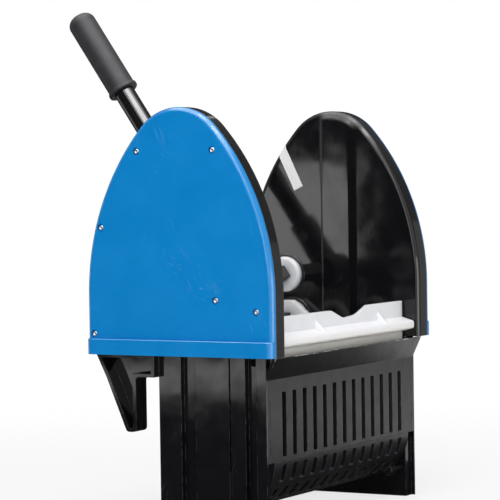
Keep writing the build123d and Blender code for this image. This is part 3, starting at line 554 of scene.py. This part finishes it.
def casting_finish(metal):
    """Black powder coat over a cast socket."""
    def build(graph):
        shade = graph.group(mottle(), {"Color": metal.casting, "Size": 0.006, "Amount": 0.4})
        worn = graph.group(edge_wear(), {"Reach": 0.001, "Size": 0.004, "Amount": 0.5})["Mask"]
        tint = graph.lay(shade["Color"], worn, metal.shaft, weight=0.5)
        peel = graph.group(moulded_grain(), {"Size": 0.0012, "Wave": 0.008, "Fine": 0.8})["Height"]
        return {"Base Color": tint, "Roughness": graph.spread(shade["Value"], 0.38, 0.5),
                "Normal": bumped(graph, peel, distance=0.0004, strength=0.4, radius=0.001)}
    return finish("Socket coat", build, IOR=1.5)


def shaft_finish(metal):
    """Drawn bar, dulled."""
    def build(graph):
        lines = graph.group(drawn_lines(), {"Length": 0.06, "Width": 0.0006})["Height"]
        spots = graph.noise(graph.object_point(), scale=260.0, detail=5.0, rough=0.65)
        dull = graph.ramp(spots, low=0.5, high=0.75, start=0.1, end=0.6)
        return {"Base Color": graph.mix(dull, metal.shaft, metal.tarnish),
                "Roughness": graph.spread(lines, 0.34, 0.5),
                "Normal": bumped(graph, lines, distance=0.0001, strength=0.4, radius=0.0006)}
    return finish("Drawn bar", build, Metallic=1.0)


def steel_finish(label, tone, metal):
    """Plated or blackened steel of the screws, bolt, nut and rings."""
    def build(graph):
        spots = graph.noise(graph.object_point(), scale=500.0, detail=5.0, rough=0.65)
        dull = graph.ramp(spots, low=0.55, high=0.8, end=0.5)
        fine = graph.noise(graph.object_point(), scale=2500.0, detail=2.0)
        return {"Base Color": graph.mix(dull, tone, metal.tarnish),
                "Roughness": graph.spread(spots, 0.28, 0.42),
                "Normal": bumped(graph, fine, distance=0.00005, strength=0.3, radius=0.0003)}
    return finish(label, build, Metallic=1.0)


def paper_finish(strip):
    """Coated paper of the bare strip."""
    def build(graph):
        shade = graph.group(mottle(), {"Color": strip.paper, "Size": 0.006, "Amount": 0.06})
        fibre = graph.noise(graph.object_point(), scale=3000.0)
        return {"Base Color": shade["Color"], "Roughness": graph.spread(fibre, 0.42, 0.55),
                "Normal": bumped(graph, fibre, distance=0.00003, strength=0.3)}
    return finish("Strip paper", build)


def dress(material, *names):
    """Give one finish to nodes of the frame."""
    for name in names:
        frame["nodes"][name].material_slots[0].material = material


def both(name):
    """The left and right nodes of a pair."""
    return f"left_{name}", f"right_{name}"


# Operators

class WRINGER_OT_stage(Operator):
    """Camera, floor, backdrop and lamps"""
    bl_idname = "wringer.stage"
    bl_label = "Stage"

    SIDEWAYS = Vector((1.0, 0.0, 0.0))
    BACKWARDS = Vector((0.0, 1.0, 0.0))
    UP = Vector((0.0, 0.0, 1.0))
    AIM = 0.35 * UP

    # Width and height of the softboxes
    TOP_BOX = (1.5, 0.55)
    REAR_BOX = (0.36, 0.17)
    WALL_BOX = (1.0, 0.05)
    SIDE_BOX = (1.5, 1.5)
    FRONT_BOX = (1.4, 0.7)
    WALL_AWAY = 1.4

    # Cards: edges by their middle and half, and how far the card reaches from there
    OVER_EDGE = Vector((-1.20, -0.10, 2.12))
    OVER_HALF = 1.40 * BACKWARDS
    OVER_REACH = 1.8 * SIDEWAYS
    SLANT_REACH = Vector((-0.7, 0.0, -0.77))
    FLAG_AWAY = 1.5
    FLAG_HALF = 1.3
    FLAG_HIGH = 1.6
    RIGHT_HALF = 1.1
    RIGHT_HIGH = 0.55
    UPPER_HIGH = 1.375
    MAT_START = -0.52
    MAT_LONG = 2.0

    FLOOR_DROP = 0.0005
    FLOOR_TINTS = ((0.80, 0.80, 0.80), (0.83, 0.83, 0.83))
    WHITE = (1.0, 1.0, 1.0)
    COOL = (0.97, 0.985, 1.0)

    def execute(self, context):
        scene = context.scene
        stage = scene.wringer.stage
        scene.view_settings.view_transform = "Standard"
        self.camera(scene, stage)
        self.floor(scene, stage)
        self.world(scene, stage)
        ahead = Vector((math.sin(stage.turn), math.cos(stage.turn), 0.0))
        gloss = Vector((-ahead.x, ahead.y, 0.0))
        across = Vector((ahead.y, ahead.x, 0.0))
        self.lamps(scene, stage, gloss, across)
        self.cards(scene, stage, gloss, across, ahead)
        return {"FINISHED"}

    def lamps(self, scene, stage, gloss, across):
        """Softboxes; gloss is the line of sight as the side faces mirror it, across is square to it."""
        left = Vector(stage.boom_left)
        right = Vector(stage.boom_right)
        boom = (right - left).length, stage.boom_wide
        self.softbox(scene, "Boom softbox", (left + right) / 2, right - left, self.AIM, stage.boom, boom)
        self.softbox(scene, "Top softbox", stage.top_place, self.SIDEWAYS, self.AIM, stage.top,
                     self.TOP_BOX)
        rear = Vector(stage.rear_place)
        box = self.softbox(scene, "Rear softbox", rear, across, rear - gloss, stage.rear, self.REAR_BOX)
        self.keep_to(box, frame["nodes"]["right_side_frame"])
        low = stage.wall_high * self.UP
        wall = self.WALL_AWAY * gloss + low
        box = self.softbox(scene, "Wall softbox", wall, across, low, stage.wall, self.WALL_BOX)
        self.keep_to(box, frame["nodes"]["left_side_frame"])
        self.softbox(scene, "Key softbox", stage.key_place, self.BACKWARDS, self.AIM, stage.key,
                     self.SIDE_BOX)
        self.softbox(scene, "Far softbox", stage.far_place, self.BACKWARDS, self.AIM, stage.far,
                     self.SIDE_BOX)
        self.softbox(scene, "Front softbox", stage.front_place, self.SIDEWAYS, self.AIM, stage.front,
                     self.FRONT_BOX)

    def cards(self, scene, stage, gloss, across, ahead):
        """Pale cards overhead, and dark and grey ones all round, for the gloss to mirror."""
        away = self.FLAG_AWAY * gloss
        high = self.FLAG_HIGH * self.UP
        right = self.RIGHT_HALF * across
        rise = self.RIGHT_HIGH * self.UP
        self.card(scene, "Overhead card", self.OVER_EDGE, self.OVER_HALF, self.OVER_REACH, stage.over)
        self.card(scene, "Slanting card", self.OVER_EDGE, self.OVER_HALF, self.SLANT_REACH, stage.over)
        self.card(scene, "Left flag", away, self.FLAG_HALF * across, high, stage.flag)
        self.card(scene, "Right flag", -away, right, rise, stage.grey)
        self.card(scene, "Upper flag", rise - away, right, self.UPPER_HIGH * self.UP, stage.upper)
        self.card(scene, "Back flag", self.FLAG_AWAY * ahead, self.FLAG_HALF * gloss, high, stage.flag)
        self.card(scene, "Mat", self.MAT_START * gloss, right, self.MAT_LONG * gloss, stage.flag)

    def camera(self, scene, stage):
        """Camera at its fitted place and angles."""
        across = Vector((math.cos(stage.turn), -math.sin(stage.turn), 0.0))
        ahead = Vector((math.sin(stage.turn) * math.cos(stage.pitch),
                        math.cos(stage.turn) * math.cos(stage.pitch), -math.sin(stage.pitch)))
        above = across.cross(ahead)
        side = math.cos(stage.roll) * across + math.sin(stage.roll) * above
        rise = math.cos(stage.roll) * above - math.sin(stage.roll) * across
        lens = bpy.data.cameras.new("Camera")
        lens.sensor_width = 36.0
        lens.lens = stage.lens
        lens.clip_start = 0.05
        camera = bpy.data.objects.new("Camera", lens)
        turn = Matrix((side, rise, -ahead)).transposed().to_4x4()
        camera.matrix_world = Matrix.Translation(stage.camera) @ turn
        scene.collection.objects.link(camera)
        scene.camera = camera

    def floor(self, scene, stage):
        """Pale round floor that keeps the shadow near the wringer and looks white further out."""
        mesh = bpy.data.meshes.new("Floor")
        disc = bmesh.new()
        bmesh.ops.create_circle(disc, cap_ends=True, segments=96, radius=stage.floor)
        disc.to_mesh(mesh)
        disc.free()
        floor = bpy.data.objects.new("Floor", mesh)
        floor.location.z = -self.FLOOR_DROP
        scene.collection.objects.link(floor)
        material, graph = bare_material("Floor")
        cloud = graph.noise(graph.object_point(), scale=3.0, detail=2.0)
        tint = graph.mix(cloud, *self.FLOOR_TINTS)
        matte = graph.add("ShaderNodeBsdfDiffuse", {"Color": tint}).outputs[0]
        glow = graph.add("ShaderNodeEmission", {"Color": self.WHITE}).outputs[0]
        out = graph.vector("LENGTH", graph.object_point())["Value"]
        paler = graph.ramp(out, low=0.25, high=1.2, start=0.75, end=1.0)
        seen = graph.math("MULTIPLY", self.seen(graph), paler)
        blend = graph.add("ShaderNodeMixShader", {0: seen, 1: matte, 2: glow}).outputs[0]
        graph.add("ShaderNodeOutputMaterial", {"Surface": blend})
        mesh.materials.append(material)

    def seen(self, graph):
        """One for rays from the camera, or by way of gloss or glass."""
        path = graph.add("ShaderNodeLightPath").outputs
        seen = graph.math("MAXIMUM", path["Is Camera Ray"], path["Is Glossy Ray"])
        return graph.math("MAXIMUM", seen, path["Is Transmission Ray"])

    def world(self, scene, stage):
        """Soft light from all round, seen as white."""
        world = bpy.data.worlds.new("Studio")
        world.use_nodes = True
        world.node_tree.nodes.clear()
        graph = Graph(world.node_tree)
        soft = graph.add("ShaderNodeBackground", {"Color": self.COOL, "Strength": stage.fill}).outputs[0]
        white = graph.add("ShaderNodeBackground", {"Color": self.WHITE, "Strength": 1.0}).outputs[0]
        blend = graph.add("ShaderNodeMixShader", {0: self.seen(graph), 1: soft, 2: white}).outputs[0]
        graph.add("ShaderNodeOutputWorld", {"Surface": blend})
        scene.world = world

    def softbox(self, scene, label, middle, along, aim, power, size):
        """Area lamp with its width along a line, turned to a point."""
        lamp = bpy.data.lights.new(label, "AREA")
        lamp.shape = "RECTANGLE"
        lamp.size, lamp.size_y = size
        lamp.energy = power
        box = bpy.data.objects.new(label, lamp)
        side = along.normalized()
        back = Vector(middle) - aim
        back = (back - back.dot(side) * side).normalized()
        turn = Matrix((side, back.cross(side), back)).transposed().to_4x4()
        box.matrix_world = Matrix.Translation(middle) @ turn
        box.visible_camera = False
        scene.collection.objects.link(box)
        return box

    def keep_to(self, box, node):
        """Light only one piece with a lamp."""
        lit = bpy.data.collections.new(box.name)
        lit.objects.link(node)
        box.light_linking.receiver_collection = lit

    def card(self, scene, label, foot, side, reach, level):
        """Card from the middle and half of one edge, and its reach; seen in the gloss only."""
        mesh = bpy.data.meshes.new(label)
        points = [foot - side, foot + side, foot + side + reach, foot - side + reach]
        mesh.from_pydata(points, [], [(0, 1, 2, 3)])
        material, graph = bare_material(label)
        weave = graph.spread(graph.noise(graph.object_point(), scale=2.0), 0.8 * level, 1.2 * level)
        glow = graph.add("ShaderNodeEmission", {"Color": weave}).outputs[0]
        graph.add("ShaderNodeOutputMaterial", {"Surface": glow})
        mesh.materials.append(material)
        card = bpy.data.objects.new(label, mesh)
        scene.collection.objects.link(card)
        for kind in ("camera", "diffuse", "transmission", "volume_scatter", "shadow"):
            setattr(card, "visible_" + kind, False)


class WRINGER_OT_covers(Operator):
    """Finish of the two blue covers"""
    bl_idname = "wringer.covers"
    bl_label = "Covers"

    def execute(self, context):
        dress(cover_finish(context.scene.wringer.plastic), *both("cover"))
        return {"FINISHED"}


class WRINGER_OT_frames(Operator):
    """Finish of the side frames, the grille and the trough"""
    bl_idname = "wringer.frames"
    bl_label = "Frames and trough"

    def execute(self, context):
        plastic = context.scene.wringer.plastic
        dress(housing_finish(plastic), *both("side_frame"))
        dress(trough_finish(plastic), "front_grille", "trough_pan")
        return {"FINISHED"}


class WRINGER_OT_press(Operator):
    """Finish of the guard, the press plate, the bushings and the gears"""
    bl_idname = "wringer.press"
    bl_label = "Press and gears"

    def execute(self, context):
        plastic = context.scene.wringer.plastic
        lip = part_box("front_grille")[1][2]
        dress(white_finish("Guard white", plastic, lip), "front_guard")
        dress(white_finish("White plastic", plastic), "press_plate", *both("lever_bushing"),
              *both("press_bushing"))
        dress(gear_finish(plastic), *both("pinion"), *both("sector"))
        return {"FINISHED"}


class WRINGER_OT_lever(Operator):
    """Finish of the lever: socket, tube and grip"""
    bl_idname = "wringer.lever"
    bl_label = "Lever"

    def execute(self, context):
        settings = context.scene.wringer
        dress(casting_finish(settings.metal), "lever_socket")
        dress(enamel_finish(settings.metal), "lever_tube")
        dress(grip_finish(settings.plastic), "lever_grip")
        return {"FINISHED"}


class WRINGER_OT_hardware(Operator):
    """Finish of the shafts, screws, rings, bolt and nut"""
    bl_idname = "wringer.hardware"
    bl_label = "Hardware"

    def execute(self, context):
        metal = context.scene.wringer.metal
        dress(shaft_finish(metal), "lever_shaft", "press_shaft")
        dress(steel_finish("Plated steel", metal.steel, metal), *both("cover_screws"), "lever_shaft_rings",
              "press_shaft_rings", "socket_screws", "lever_bolt", "lever_nut")
        dress(steel_finish("Blackened steel", metal.black, metal), *both("guard_screws"),
              *both("trough_screws"))
        return {"FINISHED"}


class WRINGER_OT_strip(Operator):
    """Bare paper strip on the right housing's inner face, folded over its rear edge"""
    bl_idname = "wringer.strip"
    bl_label = "Bare strip"

    ROWS = 8
    STEPS = 40
    HALVINGS = 50
    SHARP = math.radians(40.0)

    def execute(self, context):
        strip = context.scene.wringer.strip
        self.arch_sizes(strip)
        mesh = bpy.data.meshes.new("inner_strip")
        sheet = bmesh.new()
        grid = [self.row(sheet, strip, i / self.ROWS - 0.5) for i in range(self.ROWS + 1)]
        for first, second in zip(grid, grid[1:]):
            for a, b, c, d in zip(first, second, second[1:], first[1:]):
                sheet.faces.new((a, b, c, d))
        bmesh.ops.recalc_face_normals(sheet, faces=sheet.faces)
        bmesh.ops.solidify(sheet, geom=sheet.faces[:], thickness=strip.thick)
        bmesh.ops.recalc_face_normals(sheet, faces=sheet.faces)
        sheet.to_mesh(mesh)
        sheet.free()
        mesh.shade_smooth()
        mesh.set_sharp_from_angle(angle=self.SHARP)
        piece = bpy.data.objects.new("inner_strip", mesh)
        context.scene.collection.objects.link(piece)
        mesh.materials.append(paper_finish(strip))
        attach(piece, "frame")
        return {"FINISHED"}

    def arch_sizes(self, strip):
        """Middle and radius of the housing's rear curve, from the cover's box."""
        low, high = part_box("right_cover")
        half = (high[1] - low[1]) / 2
        curve = high[2] - low[2] - strip.arch_top - strip.arch_straight
        self.radius = (curve ** 2 + half ** 2 - strip.arch_top ** 2) / (2 * (half - strip.arch_top))
        self.middle = (high[1] - self.radius, low[2] + strip.arch_straight)

    def inset(self, y, z):
        """Distance of a point from the housing's rear edge."""
        return self.radius - math.hypot(y - self.middle[0], z - self.middle[1])

    def row(self, sheet, strip, across):
        """One line of points from the strip's foot to the housing's edge."""
        ahead = (math.cos(strip.turn), math.sin(strip.turn))
        side = (math.sin(strip.turn), -math.cos(strip.turn))
        y0 = strip.foot[1] + across * strip.wide * side[0]
        z0 = strip.foot[2] + across * strip.wide * side[1]
        near, far = 0.0, 2.0 * self.radius
        for _ in range(self.HALVINGS):
            middle = (near + far) / 2
            if self.inset(y0 + middle * ahead[0], z0 + middle * ahead[1]) > strip.shy:
                near = middle
            else:
                far = middle
        line = []
        for i in range(self.STEPS + 1):
            y = y0 + near * i / self.STEPS * ahead[0]
            z = z0 + near * i / self.STEPS * ahead[1]
            short = max(strip.fold - self.inset(y, z), 0.0)
            drop = strip.fold - math.sqrt(strip.fold ** 2 - short ** 2)
            line.append(sheet.verts.new((strip.foot[0] + drop - strip.thick, y, z)))
        return line


class WRINGER_PT_finish(Panel):
    """Lists the finishes and their settings"""
    bl_idname = "WRINGER_PT_finish"
    bl_label = "Wringer finish"
    bl_space_type = "VIEW_3D"
    bl_region_type = "UI"
    bl_category = "Wringer"

    def draw(self, context):
        settings = context.scene.wringer
        for operator in OPERATORS:
            self.layout.operator(operator.bl_idname)
        for group in (settings.stage, settings.plastic, settings.metal, settings.strip):
            box = self.layout.box()
            for key in group.__annotations__:
                box.prop(group, key)


GROUPS = (StageSettings, PlasticSettings, MetalSettings, StripSettings, WringerSettings)
OPERATORS = (WRINGER_OT_stage, WRINGER_OT_covers, WRINGER_OT_frames, WRINGER_OT_press, WRINGER_OT_lever,
             WRINGER_OT_hardware, WRINGER_OT_strip)
CLASSES = (*GROUPS, *OPERATORS, WRINGER_PT_finish)


def register():
    for cls in CLASSES:
        bpy.utils.register_class(cls)
    bpy.types.Scene.wringer = PointerProperty(type=WringerSettings)


def unregister():
    del bpy.types.Scene.wringer
    for cls in reversed(CLASSES):
        bpy.utils.unregister_class(cls)


def clear_startup():
    """Take away what Blender's start-up scene holds."""
    kept = set(frame["nodes"].values()) | set(frame["bodies"].values())
    for thing in list(bpy.data.objects):
        if thing not in kept:
            bpy.data.objects.remove(thing)


def main():
    """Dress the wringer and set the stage."""
    clear_startup()
    register()
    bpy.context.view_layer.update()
    bpy.ops.wringer.stage()
    bpy.ops.wringer.covers()
    bpy.ops.wringer.frames()
    bpy.ops.wringer.press()
    bpy.ops.wringer.lever()
    bpy.ops.wringer.hardware()
    bpy.ops.wringer.strip()


if __name__ == "__main__":
    main()
